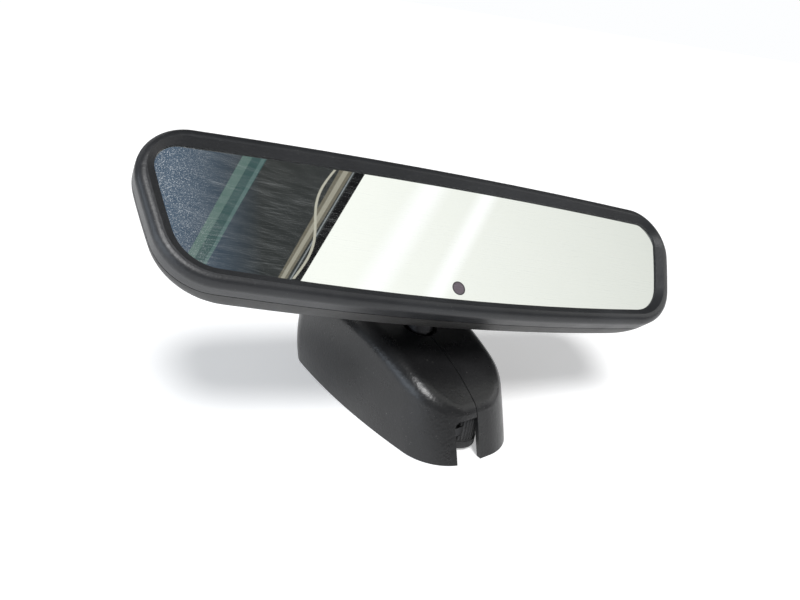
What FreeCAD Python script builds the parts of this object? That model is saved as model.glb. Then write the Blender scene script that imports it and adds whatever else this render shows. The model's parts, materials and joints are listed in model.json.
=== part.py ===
import FreeCAD, Part
import math
import os

import Sketcher

# Interior rearview mirror with a self-dimming glass, a ball-jointed head and a
# windscreen foot under a two-part cover.
#
# Row frame: the origin is the centre of the windscreen-button bore on the rim
# plane, +Z points away from the windscreen, +X runs across the foot and -Y to
# the end of the foot with the cable notch.
# Head frame: the origin is the centre of the visible glass on its front face,
# X across the glass, Y into the head and Z up the glass.

Vector = FreeCAD.Vector
Rotation = FreeCAD.Rotation
ORIGIN = Vector(0, 0, 0)
AXIS_X = Vector(1, 0, 0)
AXIS_Y = Vector(0, 1, 0)
AXIS_Z = Vector(0, 0, 1)

SIZES = [
    # visible glass, seen from the front
    ("glass_top_half", 119.2, "half width between the upper corners"),
    ("glass_low_half", 106.8, "half width between the lower corners"),
    ("glass_tall", 44.7, "height between the corner lines"),
    ("top_edge_radius", 2540.0, "arc of the upper edge"),
    ("low_edge_radius", 1393.0, "arc of the lower edge"),
    ("side_edge_radius", 300.0, "arc of each side edge"),
    ("top_corner_radius", 9.2, "rounding of the upper corners"),
    ("low_corner_radius", 17.9, "rounding of the lower corners"),
    ("top_corner_gain", 1.6, "how fast the upper rounding grows outwards"),
    ("low_corner_gain", 1.0, "how fast the lower rounding grows outwards"),
    # glass stack
    ("pane_thick", 2.0, "each glass pane"),
    ("cell_gap", 0.2, "gap between the panes, filled with gel"),
    ("front_pane_grow", 2.0, "front pane edge beyond the visible glass"),
    ("rear_pane_grow", 1.6, "rear pane edge beyond the visible glass"),
    ("gel_grow", 0.2, "gel edge beyond the visible glass"),
    ("clip_thick", 0.3, "sheet of the bus clips"),
    ("foam_thick", 1.0, "adhesive foam behind the rear pane"),
    ("foam_grow", -2.0, "foam edge against the visible glass"),
    ("carrier_thick", 2.0, "carrier plate"),
    ("carrier_grow", 1.0, "carrier edge against the visible glass"),
    ("window_radius", 3.0, "clear spot for the glare sensor"),
    ("window_drop", 21.2, "spot below the middle of the glass"),
    ("pipe_radius", 2.6, "light pipe behind the spot"),
    # bezel and rear housing
    ("bezel_grow", 6.6, "outer wall beyond the visible glass"),
    ("bezel_proud", 2.8, "crest in front of the glass"),
    ("bezel_depth", 5.6, "back edge of the bezel's outer wall"),
    ("bezel_round", 3.4, "rounding of the outer front edge"),
    ("glass_seat_grow", 2.8, "pocket for the glass in the bezel"),
    ("skirt_grow", 4.2, "outside of the skirt that enters the housing"),
    ("skirt_back", 9.0, "back edge of the skirt"),
    ("part_gap", 0.45, "dark line between bezel and housing, and between covers"),
    ("shell_wall", 2.2, "wall of the moulded shells"),
    ("head_depth", 31.0, "glass face to the back of the housing, in the middle"),
    ("head_end_draw", 54.0, "how far the back draws in at each end"),
    ("head_side_draw", 18.5, "how far the back draws in above and below"),
    ("boss_radius", 15.0, "round boss on the housing over the ball joint"),
    ("boss_opening", 45.0, "half angle of the boss's opening, degrees"),
    # ball joint, centred on the ball
    ("ball_back", 22.0, "ball centre behind the glass face"),
    ("ball_drop", 4.0, "ball centre below the middle of the glass"),
    ("ball_high", 65.6, "ball centre above the rim plane"),
    ("ball_radius", 7.5, "ball of the pivot arm"),
    ("joint_gap", 0.1, "running gap between the nested round pieces"),
    ("liner_radius", 8.7, "outside of the ball liner"),
    ("cup_radius", 10.3, "outside of the socket cup"),
    ("retainer_radius", 12.0, "outside of the socket retainer"),
    ("neck_radius", 4.5, "neck below the ball"),
    ("neck_bore_radius", 2.5, "cable bore through ball and neck"),
    ("socket_lean", 44.0, "socket opening below the head's back, degrees"),
    # rest pose of the head
    ("head_swing", -22.0, "turn about the foot's axis, degrees"),
    ("head_tip", -45.9, "tip about the cross axis, degrees"),
    ("head_turn", 9.7, "turn about the head's own upright, degrees"),
    # foot cover
    ("foot_front", 50.7, "notch end ahead of the button's centre"),
    ("foot_length", 112.0, "length of the rim"),
    ("foot_front_half", 24.0, "half width at the notch end"),
    ("foot_back_half", 26.2, "half width at the back"),
    ("foot_front_round", 21.5, "plan corners at the notch end"),
    ("foot_back_round", 15.0, "plan corners at the back"),
    ("foot_side_radius", 318.0, "arc of the long sides"),
    ("foot_end_radius", 2000.0, "arc of the notch end"),
    ("foot_back_radius", 120.0, "arc of the back end"),
    ("foot_roof", 48.0, "height that the walls are drawn to"),
    ("front_draw", 17.5, "how far the notch end leans in at the roof"),
    ("side_draw", 2.5, "how far the sides curve in at the roof"),
    ("back_draw", 4.0, "how far the back curves in at the roof"),
    ("back_swell", 2.5, "how far the back corners swell out half way up"),
    ("crown_dish", 9.0, "rise of the top's dish, 60 mm off the middle"),
    ("ridge_round", 8.0, "soft ridge between walls and top"),
    ("neck_hole_radius", 8.6, "hole in the cover for the neck"),
    ("notch_width", 12.0, "cable notch in the left cover"),
    ("notch_tall", 17.0, "height of the cable notch"),
    ("notch_round", 3.0, "rounded upper corner of the notch"),
    # foot base and what it carries
    ("base_radius", 21.0, "round part of the base"),
    ("base_tall", 12.0, "height of the base"),
    ("button_radius", 15.0, "bore that takes the windscreen button"),
    ("button_depth", 6.0, "depth of that bore"),
    ("spring_thick", 0.7, "sheet of the button spring"),
    ("spring_radius", 16.4, "outside of the button spring"),
    ("spring_hole_radius", 7.0, "middle hole of the button spring"),
    ("finger_width", 5.0, "each finger of the button spring"),
    ("arm_foot_radius", 13.0, "flange at the bottom of the pivot arm"),
    ("arm_foot_thick", 3.5, "thickness of that flange"),
    ("grommet_radius", 8.5, "ribbed cable grommet behind the notch"),
    ("grommet_tall", 15.5, "height of the grommet"),
]

doc = FreeCAD.newDocument("interior_rearview_mirror")
sheet = doc.addObject("Spreadsheet::Sheet", "Sizes")
for row, (alias, value, note) in enumerate(SIZES, start=1):
    sheet.set(f"A{row}", note)
    sheet.set(f"B{row}", str(value))
    sheet.setAlias(f"B{row}", alias)
doc.recompute()
size = {alias: float(sheet.get(alias)) for alias, _, _ in SIZES}

BALL_IN_HEAD = Vector(0, size["ball_back"], -size["ball_drop"])
BALL_CENTRE = Vector(0, 0, size["ball_high"])
HEAD_ROTATION = (Rotation(AXIS_Z, size["head_swing"]) * Rotation(AXIS_X, size["head_tip"])
                 * Rotation(AXIS_Z, size["head_turn"]))
HEAD_PLACEMENT = FreeCAD.Placement(BALL_CENTRE - HEAD_ROTATION.multVec(BALL_IN_HEAD), HEAD_ROTATION)
FOOT_PLACEMENT = FreeCAD.Placement()
LEAN = math.radians(size["socket_lean"])
SOCKET_AXIS = Vector(0, math.cos(LEAN), -math.sin(LEAN))
CELL_BACK = 2 * size["pane_thick"] + size["cell_gap"]
FOAM_BACK = CELL_BACK + size["foam_thick"]
CARRIER_BACK = FOAM_BACK + size["carrier_thick"]
BOARD_FRONT = 10.4
BOARD_THICK = 1.6
BOARD_BACK = BOARD_FRONT + BOARD_THICK
SEAT_FRONT = 9.3                # flange of the socket retainer
SEAT_BACK = 11.3
BOARD_SCREWS = [(-80, 12), (-80, -22), (-24, 12), (-24, -22)]
GUIDE_X = -50.0                 # guide of the ambient light sensor
GUIDE_Z = 5.0
GUIDE_RADIUS = 3.0
CLIP_HOOK = 3.5                 # how far the bus clips reach behind the rear pane
SKIRT_GAP = 0.1                 # clearance between the bezel's skirt and the housing
HOUSING_STEPS = 7               # sections of the housing's dome
CROWN_REACH = 60                # the dish of the cover's top is set this far off the middle
GROMMET_X = -0.5
GROMMET_Y = -34.4
SOCKET_LOW = Vector(9.2, -36.0, 1.0)
SCREW_RING = 10.2               # circle of the arm screws

parts = []


def register(item, placement):
    """Give a finished sub-part its place and put it on the list to write."""
    item.Label = item.Name
    item.Placement = placement
    parts.append(item)
    return item


def shape_part(name, shape, placement):
    """A sub-part whose shape is worked out in code from the sheet's sizes."""
    item = doc.addObject("Part::Feature", name)
    item.Shape = shape
    return register(item, placement)


def bind(item, **expressions):
    """Bind properties of a document object to the sheet."""
    for name, expression in expressions.items():
        item.setExpression(name, expression)
    return item


# ---------------------------------------------------------------- outlines

def arc_between(start, end, radius, middle):
    """Arc from start to end of the given radius that bulges away from middle."""
    half_chord = (end - start).Length / 2
    rise = radius - math.sqrt(radius ** 2 - half_chord ** 2)
    halfway = (start + end) * 0.5
    across = (end - start).cross(halfway - middle).cross(end - start)
    across.normalize()
    return Part.Arc(start, halfway + across * rise, end).toShape()


def rounded_outline(corners, edge_radii, corner_radii, normal):
    """Closed wire of four arcs with rounded corners."""
    middle = (corners[0] + corners[1] + corners[2] + corners[3]) * 0.25
    ends = corners[1:] + corners[:1]
    arcs = [arc_between(start, end, radius, middle)
            for start, end, radius in zip(corners, ends, edge_radii)]
    prism = Part.Face(Part.Wire(arcs)).extrude(normal)
    for corner, radius in zip(corners, corner_radii):
        upright = [edge for edge in prism.Edges
                   if edge.CenterOfMass.distanceToPoint(corner + normal * 0.5) < 0.01]
        prism = prism.makeFillet(radius, upright)
    base = [face for face in prism.Faces
            if abs((face.CenterOfMass - middle).dot(normal)) < 0.001]
    return base[0].OuterWire


def outline_corners(grow, end_grow=None):
    """Half widths of the upper and lower corners and their height, when grown."""
    ends = grow if end_grow is None else end_grow
    lean = math.atan((size["glass_top_half"] - size["glass_low_half"]) / size["glass_tall"])
    top_half = size["glass_top_half"] + (ends + grow * math.sin(lean)) / math.cos(lean)
    low_half = size["glass_low_half"] + (ends - grow * math.sin(lean)) / math.cos(lean)
    return top_half, low_half, size["glass_tall"] / 2 + grow


def outline_at(grow, depth, end_grow=None):
    """Outline of the visible glass grown by a distance, on the plane y = depth."""
    top_half, low_half, upper = outline_corners(grow, end_grow)
    corners = [Vector(-top_half, depth, upper), Vector(top_half, depth, upper),
               Vector(low_half, depth, -upper), Vector(-low_half, depth, -upper)]
    edges = [size["top_edge_radius"], size["side_edge_radius"],
             size["low_edge_radius"], size["side_edge_radius"]]
    edges = [radius + grow for radius in edges]
    room = upper / (size["glass_tall"] / 2 + size["bezel_grow"])
    rounds = []
    for row_name in ("top", "top", "low", "low"):
        start = size[row_name + "_corner_radius"]
        gain = size[row_name + "_corner_gain"]
        if end_grow is None:
            rounds.append(start + gain * grow)
        else:
            rounds.append((start + gain * size["bezel_grow"]) * room)
    return rounded_outline(corners, edges, rounds, AXIS_Y)


def outline_block(grow, front, back):
    """Solid of the grown glass outline between two depths."""
    return Part.Face(outline_at(grow, front)).extrude(Vector(0, back - front, 0))


def origin_plane(body, role):
    """One of a body's own origin planes."""
    return [item for item in body.Origin.OriginFeatures if item.Role == role][0]


def constrain(sketch, kind, *values):
    """Add a constraint to a sketch and return its index."""
    return sketch.addConstraint(Sketcher.Constraint(kind, *values))


def outline_sketch(body, name, grow):
    """Sketch of the glass outline grown by a cell: four arcs tied to the sheet."""
    sketch = body.newObject("Sketcher::SketchObject", name)
    sketch.AttachmentSupport = (origin_plane(body, "XZ_Plane"), "")
    sketch.MapMode = "FlatFace"
    lean = "atan((Sizes.glass_top_half - Sizes.glass_low_half) / Sizes.glass_tall)"
    tall = f"Sizes.glass_tall / 2 + Sizes.{grow}"
    top = f"Sizes.glass_top_half + Sizes.{grow} * (1 + sin({lean})) / cos({lean})"
    low = f"Sizes.glass_low_half + Sizes.{grow} * (1 - sin({lean})) / cos({lean})"
    top_half, low_half, upper = outline_corners(size[grow])
    corners = [Vector(-top_half, upper, 0), Vector(-low_half, -upper, 0),
               Vector(low_half, -upper, 0), Vector(top_half, upper, 0)]
    halves = [top, low, low, top]
    radii = ["side_edge_radius", "low_edge_radius", "side_edge_radius", "top_edge_radius"]
    for index, radius in enumerate(radii):
        start = corners[index]
        end = corners[(index + 1) % 4]
        chord = end - start
        inward = Vector(-chord.y, chord.x, 0).normalize()
        centre = (start + end) * 0.5 + inward * math.sqrt(size[radius] ** 2 - chord.Length ** 2 / 4)
        first = math.atan2(start.y - centre.y, start.x - centre.x)
        last = math.atan2(end.y - centre.y, end.x - centre.x)
        circle = Part.Circle(centre, AXIS_Z, size[radius])
        sketch.addGeometry(Part.ArcOfCircle(circle, first, last), False)
    for index, radius in enumerate(radii):
        constrain(sketch, "Coincident", index, 2, (index + 1) % 4, 1)
        left = corners[index].x < 0
        points = (index, 1, -1, 1) if left else (-1, 1, index, 1)
        across = constrain(sketch, "DistanceX", *points, abs(corners[index].x))
        low_corner = corners[index].y < 0
        points = (index, 1, -1, 1) if low_corner else (-1, 1, index, 1)
        upright = constrain(sketch, "DistanceY", *points, abs(corners[index].y))
        bend = constrain(sketch, "Radius", index, size[radius])
        sketch.setExpression(f"Constraints[{across}]", halves[index])
        sketch.setExpression(f"Constraints[{upright}]", tall)
        sketch.setExpression(f"Constraints[{bend}]", f"Sizes.{radius} + Sizes.{grow}")
    return sketch


def round_corners(body, base, name, grow, rows):
    """Fillet the upright corner edges of an outline pad, upper and lower pairs."""
    for row_name, radius, upper in rows:
        doc.recompute()
        edges = [f"Edge{number}" for number, edge in enumerate(base.Shape.Edges, start=1)
                 if edge.Curve.TypeId == "Part::GeomLine"
                 and abs(edge.tangentAt(edge.FirstParameter).y) > 0.99
                 and (edge.CenterOfMass.z > 0) == upper]
        fillet = body.newObject("PartDesign::Fillet", name + row_name)
        fillet.Base = (base, edges)
        gain = radius.replace("radius", "gain")
        bind(fillet, Radius=f"Sizes.{radius} + Sizes.{gain} * Sizes.{grow}")
        base = fillet
    return base


def glass_sheet(name, grow, front, thick):
    """Flat sheet of the grown glass outline: a padded sketch with rounded corners."""
    body = doc.addObject("PartDesign::Body", name)
    sketch = outline_sketch(body, name + "_outline", grow)
    bind(sketch, **{"AttachmentOffset.Base.z": f"-({front})"})
    pad = body.newObject("PartDesign::Pad", name + "_pad")
    pad.Profile = sketch
    pad.Reversed = True
    bind(pad, Length=thick)
    rows = [("_top_round", "top_corner_radius", True), ("_low_round", "low_corner_radius", False)]
    body.Tip = round_corners(body, pad, name, grow, rows)
    return body


def round_hole(body, name, radius, centre_x, centre_z, front, deep):
    """Round pocket through a glass sheet, along Y."""
    sketch = body.newObject("Sketcher::SketchObject", name + "_circle")
    sketch.AttachmentSupport = (origin_plane(body, "XZ_Plane"), "")
    sketch.MapMode = "FlatFace"
    bind(sketch, **{"AttachmentOffset.Base.z": f"-({front})"})
    sketch.addGeometry(Part.Circle(Vector(centre_x, centre_z, 0), AXIS_Z, 1.0), False)
    drop = constrain(sketch, "DistanceY", 0, 3, -1, 1, abs(centre_z))
    constrain(sketch, "PointOnObject", 0, 3, -2)
    bend = constrain(sketch, "Radius", 0, 1.0)
    sketch.setExpression(f"Constraints[{drop}]", "Sizes.window_drop")
    sketch.setExpression(f"Constraints[{bend}]", radius)
    pocket = body.newObject("PartDesign::Pocket", name)
    pocket.Profile = sketch
    bind(pocket, Length=deep)
    body.Tip = pocket
    return pocket


def cylinder_along(axis, start, radius, length):
    """Plain cylinder from a start point along an axis."""
    return Part.makeCylinder(radius, length, start, axis)


def ball(centre, radius):
    """Full sphere."""
    return Part.makeSphere(radius, centre)


def cone_from(apex, axis, half_angle, length):
    """Solid cone that opens from its apex along an axis."""
    return Part.makeCone(0, length * math.tan(math.radians(half_angle)), length, apex, axis)


def screw(head_radius, head_tall, shank_radius, shank_long):
    """Pan-head screw: shank below z = 0, head above it with a six-sided recess."""
    head = Part.makeCylinder(head_radius, head_tall)
    rim = [edge for edge in head.Edges if abs(edge.CenterOfMass.z - head_tall) < 0.001
           and edge.Curve.TypeId == "Part::GeomCircle"]
    head = head.makeFillet(head_tall * 0.4, rim)
    flats = [Vector(head_radius * 0.45 * math.cos(math.radians(60 * step)),
                    head_radius * 0.45 * math.sin(math.radians(60 * step)), head_tall * 0.4)
             for step in range(7)]
    recess = Part.Face(Part.makePolygon(flats)).extrude(AXIS_Z * head_tall)
    shank = Part.makeCylinder(shank_radius, shank_long, Vector(0, 0, -shank_long))
    return head.fuse(shank).cut(recess)


def placed(shape, position, axis=AXIS_Z):
    """Copy of a shape moved to a position with its own Z turned to an axis."""
    copy = shape.copy()
    copy.Placement = FreeCAD.Placement(position, Rotation(AXIS_Z, axis))
    return copy


def around(radius, angles, height=0.0):
    """Points on a circle about Z."""
    return [Vector(radius * math.cos(math.radians(angle)),
                   radius * math.sin(math.radians(angle)), height) for angle in angles]


# ---------------------------------------------------------------- glass stack

def make_glass_stack():
    """Two panes with the gel between them, their seal, clips and foam."""
    front_pane = glass_sheet("front_glass", "front_pane_grow", "0", "Sizes.pane_thick")
    register(front_pane, HEAD_PLACEMENT)
    gel = glass_sheet("dimming_gel", "gel_grow", "Sizes.pane_thick", "Sizes.cell_gap")
    register(gel, HEAD_PLACEMENT)
    rear_front = "Sizes.pane_thick + Sizes.cell_gap"
    rear_pane = glass_sheet("rear_glass", "rear_pane_grow", rear_front, "Sizes.pane_thick")
    round_hole(rear_pane, "rear_glass_spot", "Sizes.window_radius", 0, -size["window_drop"],
               rear_front, "Sizes.pane_thick")
    register(rear_pane, HEAD_PLACEMENT)
    foam = glass_sheet("foam_pad", "foam_grow", "2 * Sizes.pane_thick + Sizes.cell_gap",
                       "Sizes.foam_thick")
    round_hole(foam, "foam_pad_hole", "Sizes.pipe_radius + 0.6", 0, -size["window_drop"],
               "2 * Sizes.pane_thick + Sizes.cell_gap", "Sizes.foam_thick")
    register(foam, HEAD_PLACEMENT)

    front = size["pane_thick"]
    back = front + size["cell_gap"]
    seal = outline_block(size["rear_pane_grow"], front, back)
    seal = seal.cut(outline_block(size["gel_grow"], front, back))
    shape_part("cell_seal", seal, HEAD_PLACEMENT)

    spot = Vector(0, back, -size["window_drop"])
    disc = cylinder_along(AXIS_Y, spot, size["window_radius"], size["pane_thick"])
    shape_part("sensor_window", disc, HEAD_PLACEMENT)
    make_bus_clips()


def make_bus_clips():
    """Thin metal strips that grip the long edges of the panes."""
    inner = size["front_pane_grow"]
    outer = inner + size["clip_thick"]
    strip = outline_block(outer, 0.6, CELL_BACK + size["clip_thick"])
    strip = strip.cut(outline_block(inner, 0.6, CELL_BACK))
    strip = strip.cut(outline_block(inner - CLIP_HOOK, 0, FOAM_BACK))
    clip_half = 80.0
    clip_box = Part.makeBox(2 * clip_half, FOAM_BACK, 60, Vector(-clip_half, 0, 0))
    shape_part("upper_bus_clip", strip.common(clip_box), HEAD_PLACEMENT)
    clip_box.translate(Vector(0, 0, -60))
    shape_part("lower_bus_clip", strip.common(clip_box), HEAD_PLACEMENT)


# ---------------------------------------------------------------- head shells

def bezel_shape():
    """Rounded frame in front of and around the glass, with a skirt behind."""
    crest = -size["bezel_proud"]
    body = outline_block(size["bezel_grow"], crest, size["bezel_depth"])
    front_edges = [edge for edge in body.Edges if abs(edge.BoundBox.YMax - crest) < 0.001]
    body = body.makeFillet(size["bezel_round"], front_edges)
    lip_edge = 0.7
    crest_grow = size["bezel_grow"] - size["bezel_round"] - 0.5
    slope = Part.makeLoft([outline_at(0, -lip_edge), outline_at(crest_grow, crest)], True)
    overshoot = outline_block(crest_grow, crest - 1, crest)
    body = body.cut(slope).cut(overshoot).cut(outline_block(0, crest, 0.1))
    body = body.cut(outline_block(size["glass_seat_grow"], 0, size["bezel_depth"]))
    skirt_wall = 1.3
    skirt = outline_block(size["skirt_grow"], size["bezel_depth"] - 1, size["skirt_back"])
    skirt = skirt.cut(outline_block(size["skirt_grow"] - skirt_wall, 0, size["skirt_back"]))
    return body.fuse(skirt).removeSplitter()


def domed_block(shrink, front):
    """Solid of the housing: outlines that draw in towards a domed back."""
    deep = size["head_depth"] - shrink - front
    sections = []
    for step in range(HOUSING_STEPS + 1):
        along = step / HOUSING_STEPS
        depth = front + deep * math.sin(along * math.pi / 2)
        draw = 1 - math.cos(along * math.pi / 2)
        grow = size["bezel_grow"] - shrink - size["head_side_draw"] * draw ** 1.25
        ends = size["bezel_grow"] - shrink - size["head_end_draw"] * draw
        sections.append(outline_at(grow, depth, ends))
    return Part.makeLoft(sections, True)


def housing_shape():
    """Rear shell with the round boss over the ball joint and its opening."""
    front = size["bezel_depth"] + size["part_gap"]
    wall = size["shell_wall"]
    shell = domed_block(0, front).fuse(ball(BALL_IN_HEAD, size["boss_radius"]))
    lip_cut = outline_block(size["bezel_grow"] - wall, front - 1, front)
    shell = shell.cut(domed_block(wall, front)).cut(lip_cut)
    skirt_room = outline_block(size["skirt_grow"] + SKIRT_GAP, front - 1, size["skirt_back"] + SKIRT_GAP)
    shell = shell.cut(skirt_room)
    shell = shell.cut(ball(BALL_IN_HEAD, size["boss_radius"] - wall))
    shell = shell.cut(cone_from(BALL_IN_HEAD, SOCKET_AXIS, size["boss_opening"], 40))
    return shell.cut(cylinder_along(AXIS_Y, Vector(GUIDE_X, 14, GUIDE_Z), GUIDE_RADIUS, 30))


def make_head_shells():
    shape_part("bezel_frame", bezel_shape(), HEAD_PLACEMENT)
    shape_part("rear_housing", housing_shape(), HEAD_PLACEMENT)
    start = Vector(GUIDE_X, BOARD_BACK + 1.7, GUIDE_Z)
    stem = cylinder_along(AXIS_Y, start, GUIDE_RADIUS, size["head_depth"] + 0.3 - start.y)
    tip = [edge for edge in stem.Edges if edge.Curve.TypeId == "Part::GeomCircle"
           and edge.CenterOfMass.y > start.y + 1]
    shape_part("ambient_light_guide", stem.makeFillet(0.8, tip), HEAD_PLACEMENT)


# ---------------------------------------------------------------- carrier and board

def make_carrier():
    """Plate behind the glass with bosses for the board and the socket retainer."""
    plate = outline_block(size["carrier_grow"], FOAM_BACK, CARRIER_BACK)
    ring = cylinder_along(AXIS_Y, Vector(0, CARRIER_BACK, -size["ball_drop"]), 16.0,
                          SEAT_FRONT - CARRIER_BACK)
    plate = plate.fuse(ring)
    for across, upright in BOARD_SCREWS:
        foot = Vector(across, CARRIER_BACK, upright)
        plate = plate.fuse(cylinder_along(AXIS_Y, foot, 3.0, BOARD_FRONT - CARRIER_BACK))
        plate = plate.cut(cylinder_along(AXIS_Y, foot, 1.1, 10))
    for point in retainer_screw_points():
        plate = plate.cut(cylinder_along(AXIS_Y, point - AXIS_Y * 5, 1.3, 5))
    spot = Vector(0, FOAM_BACK - 1, -size["window_drop"])
    plate = plate.cut(cylinder_along(AXIS_Y, spot, size["pipe_radius"] + 0.2, 10))
    shape_part("carrier_plate", plate.removeSplitter(), HEAD_PLACEMENT)


def retainer_screw_points():
    """Undersides of the three retainer screw heads."""
    return [Vector(point.x, SEAT_BACK, point.y - size["ball_drop"])
            for point in around(13.0, (90, 200, 340))]


def make_board():
    """Circuit board with a tongue under the glare sensor, and its parts."""
    corners = [(-84, 16), (-19, 16), (-19, -20.4), (7, -20.4), (7, -26.4), (-84, -26.4)]
    points = [Vector(across, BOARD_FRONT, upright) for across, upright in corners]
    board = Part.Face(Part.makePolygon(points + points[:1])).extrude(AXIS_Y * BOARD_THICK)
    for across, upright in BOARD_SCREWS:
        board = board.cut(cylinder_along(AXIS_Y, Vector(across, 0, upright), 1.1, 20))
    shape_part("circuit_board", board, HEAD_PLACEMENT)

    board_screw = screw(2.2, 1.5, 1.1, 3.0)
    screws = [placed(board_screw, Vector(across, BOARD_BACK, upright), AXIS_Y)
              for across, upright in BOARD_SCREWS]
    shape_part("board_screws", Part.makeCompound(screws), HEAD_PLACEMENT)

    chips = [Part.makeBox(8, 1.2, 8, Vector(-60, BOARD_BACK, -12)),
             Part.makeBox(6, 1.6, 5, Vector(-44, BOARD_BACK, -10)),
             Part.makeBox(5, 1.0, 4, Vector(-34, BOARD_BACK, 6))]
    shape_part("controller_chips", Part.makeCompound(chips), HEAD_PLACEMENT)
    cans = [cylinder_along(AXIS_Y, Vector(-72, BOARD_BACK, upright), 3.2, 7.5)
            for upright in (2, -8)]
    shape_part("board_capacitors", Part.makeCompound(cans), HEAD_PLACEMENT)


def box_part(name, corner, lengths):
    """Plain block sub-part in the head frame, as a box primitive."""
    item = doc.addObject("Part::Box", name)
    item.Length, item.Width, item.Height = lengths
    parts.append(item)
    item.Label = name
    item.Placement = HEAD_PLACEMENT * FreeCAD.Placement(Vector(*corner), Rotation())
    return item


def make_sensors():
    """Glare sensor behind the spot in the glass and ambient sensor facing back."""
    drop = -size["window_drop"]
    pipe = doc.addObject("Part::Cylinder", "light_pipe")
    bind(pipe, Radius="Sizes.pipe_radius")
    pipe.Height = 4.2
    turn = Rotation(AXIS_Z, AXIS_Y)
    pipe.Label = "light_pipe"
    pipe.Placement = HEAD_PLACEMENT * FreeCAD.Placement(Vector(0, CELL_BACK + 0.1, drop), turn)
    parts.append(pipe)
    box_part("glare_sensor", (-2.5, BOARD_FRONT - 1.8, -25.4), (5, 1.8, 4.8))
    box_part("ambient_sensor", (GUIDE_X - 2, BOARD_BACK, GUIDE_Z - 2), (4, 1.5, 4))
    shell = Part.makeBox(14, 8, 7, Vector(-46, BOARD_BACK, -25))
    hollow = Part.makeBox(12, 6, 5, Vector(-45, BOARD_BACK + 2, -24))
    shape_part("board_connector", shell.cut(hollow), HEAD_PLACEMENT)


# ---------------------------------------------------------------- ball joint

def make_ball_joint():
    """Retainer in the head, cup and liner between it and the ball."""
    gap = size["joint_gap"]
    centre = BALL_IN_HEAD
    retainer = ball(centre, size["retainer_radius"])
    flange = cylinder_along(AXIS_Y, Vector(0, SEAT_FRONT, -size["ball_drop"]), 16.0,
                            SEAT_BACK - SEAT_FRONT)
    front_cut = Part.makeBox(40, 10, 40, Vector(-20, SEAT_FRONT - 10, -24))
    collar = cylinder_along(AXIS_Y, Vector(0, SEAT_BACK, -size["ball_drop"]), 10.4, 5.0)
    retainer = retainer.cut(front_cut).fuse(flange).fuse(collar)
    retainer = retainer.cut(ball(centre, size["cup_radius"] + gap))
    retainer = retainer.cut(cone_from(centre, SOCKET_AXIS, 55, 40))
    spring_seat = Vector(0, SEAT_FRONT + 0.7, -size["ball_drop"])
    retainer = retainer.cut(cylinder_along(AXIS_Y, spring_seat, 6.4, 6))
    for point in retainer_screw_points():
        retainer = retainer.cut(cylinder_along(AXIS_Y, point - AXIS_Y * 5, 1.3, 8))
    flat = Part.makeBox(40, 4, 10, Vector(-20, SEAT_FRONT - 1, -29.8))
    shape_part("socket_retainer", retainer.cut(flat), HEAD_PLACEMENT)

    retainer_screw = screw(2.4, 1.7, 1.3, 4.5)
    screws = [placed(retainer_screw, point, AXIS_Y) for point in retainer_screw_points()]
    shape_part("retainer_screws", Part.makeCompound(screws), HEAD_PLACEMENT)

    washer = [(6.2, 0), (6.2, 0.6), (3.0, 1.5), (3.0, 0.9)]
    section = [spring_seat + Vector(radius, rise, 0) for radius, rise in washer]
    spring = Part.Face(Part.makePolygon(section + section[:1])).revolve(spring_seat, AXIS_Y, 360)
    shape_part("pressure_spring", spring, HEAD_PLACEMENT)

    cup = ball(centre, size["cup_radius"]).cut(ball(centre, size["liner_radius"] + gap))
    cup = cup.cut(cylinder_along(SOCKET_AXIS, centre, 8.05, 20))
    cup = cup.cut(cylinder_along(AXIS_Y * -1, centre, 3.2, 20))
    shape_part("socket_cup", cup, HEAD_PLACEMENT)

    down = AXIS_Z * -1
    liner = ball(BALL_CENTRE, size["liner_radius"]).cut(ball(BALL_CENTRE, size["ball_radius"] + gap))
    liner = liner.cut(cylinder_along(down, BALL_CENTRE, size["neck_radius"] + 0.4, 20))
    liner = liner.cut(cylinder_along(AXIS_Z, BALL_CENTRE, size["neck_bore_radius"] + 1, 20))
    shape_part("ball_liner", liner, FOOT_PLACEMENT)


def make_pivot_arm():
    """Turned arm: flange, flared stem, neck and ball, bored for the cable."""
    high = size["ball_high"]
    base = size["base_tall"]
    flange = base + size["arm_foot_thick"]
    stem = 7.0
    neck = size["neck_radius"]
    join = high - math.sqrt(size["ball_radius"] ** 2 - neck ** 2)
    bore = size["neck_bore_radius"]
    top = high + math.sqrt(size["ball_radius"] ** 2 - bore ** 2)
    rim = size["arm_foot_radius"]
    fillet = 0.8
    quarter = math.sqrt(0.5)
    points = [Vector(bore, 0, base), Vector(rim, 0, base), Vector(rim, 0, flange),
              Vector(stem + fillet, 0, flange), Vector(stem, 0, flange + fillet),
              Vector(stem, 0, 36), Vector(neck, 0, 48), Vector(neck, 0, join), Vector(bore, 0, top)]
    bend = Vector(stem + fillet * (1 - quarter), 0, flange + fillet * (1 - quarter))
    edges = [Part.makeLine(start, end) for start, end in zip(points[:3], points[1:4])]
    edges.append(Part.Arc(points[3], bend, points[4]).toShape())
    edges += [Part.makeLine(start, end) for start, end in zip(points[4:7], points[5:8])]
    side = Vector(size["ball_radius"], 0, high)
    edges.append(Part.Arc(points[7], side, points[8]).toShape())
    edges.append(Part.makeLine(points[8], points[0]))
    arm = Part.Face(Part.Wire(edges)).revolve(ORIGIN, AXIS_Z, 360)
    for point in around(SCREW_RING, (90, 210, 330), base):
        arm = arm.cut(cylinder_along(AXIS_Z, point, 1.5, 6))
    shape_part("pivot_arm", arm, FOOT_PLACEMENT)
    arm_screw = screw(2.3, 1.8, 1.5, 7.0)
    screws = [placed(arm_screw, point) for point in around(SCREW_RING, (90, 210, 330), flange)]
    shape_part("arm_screws", Part.makeCompound(screws), FOOT_PLACEMENT)


# ---------------------------------------------------------------- foot cover

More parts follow.
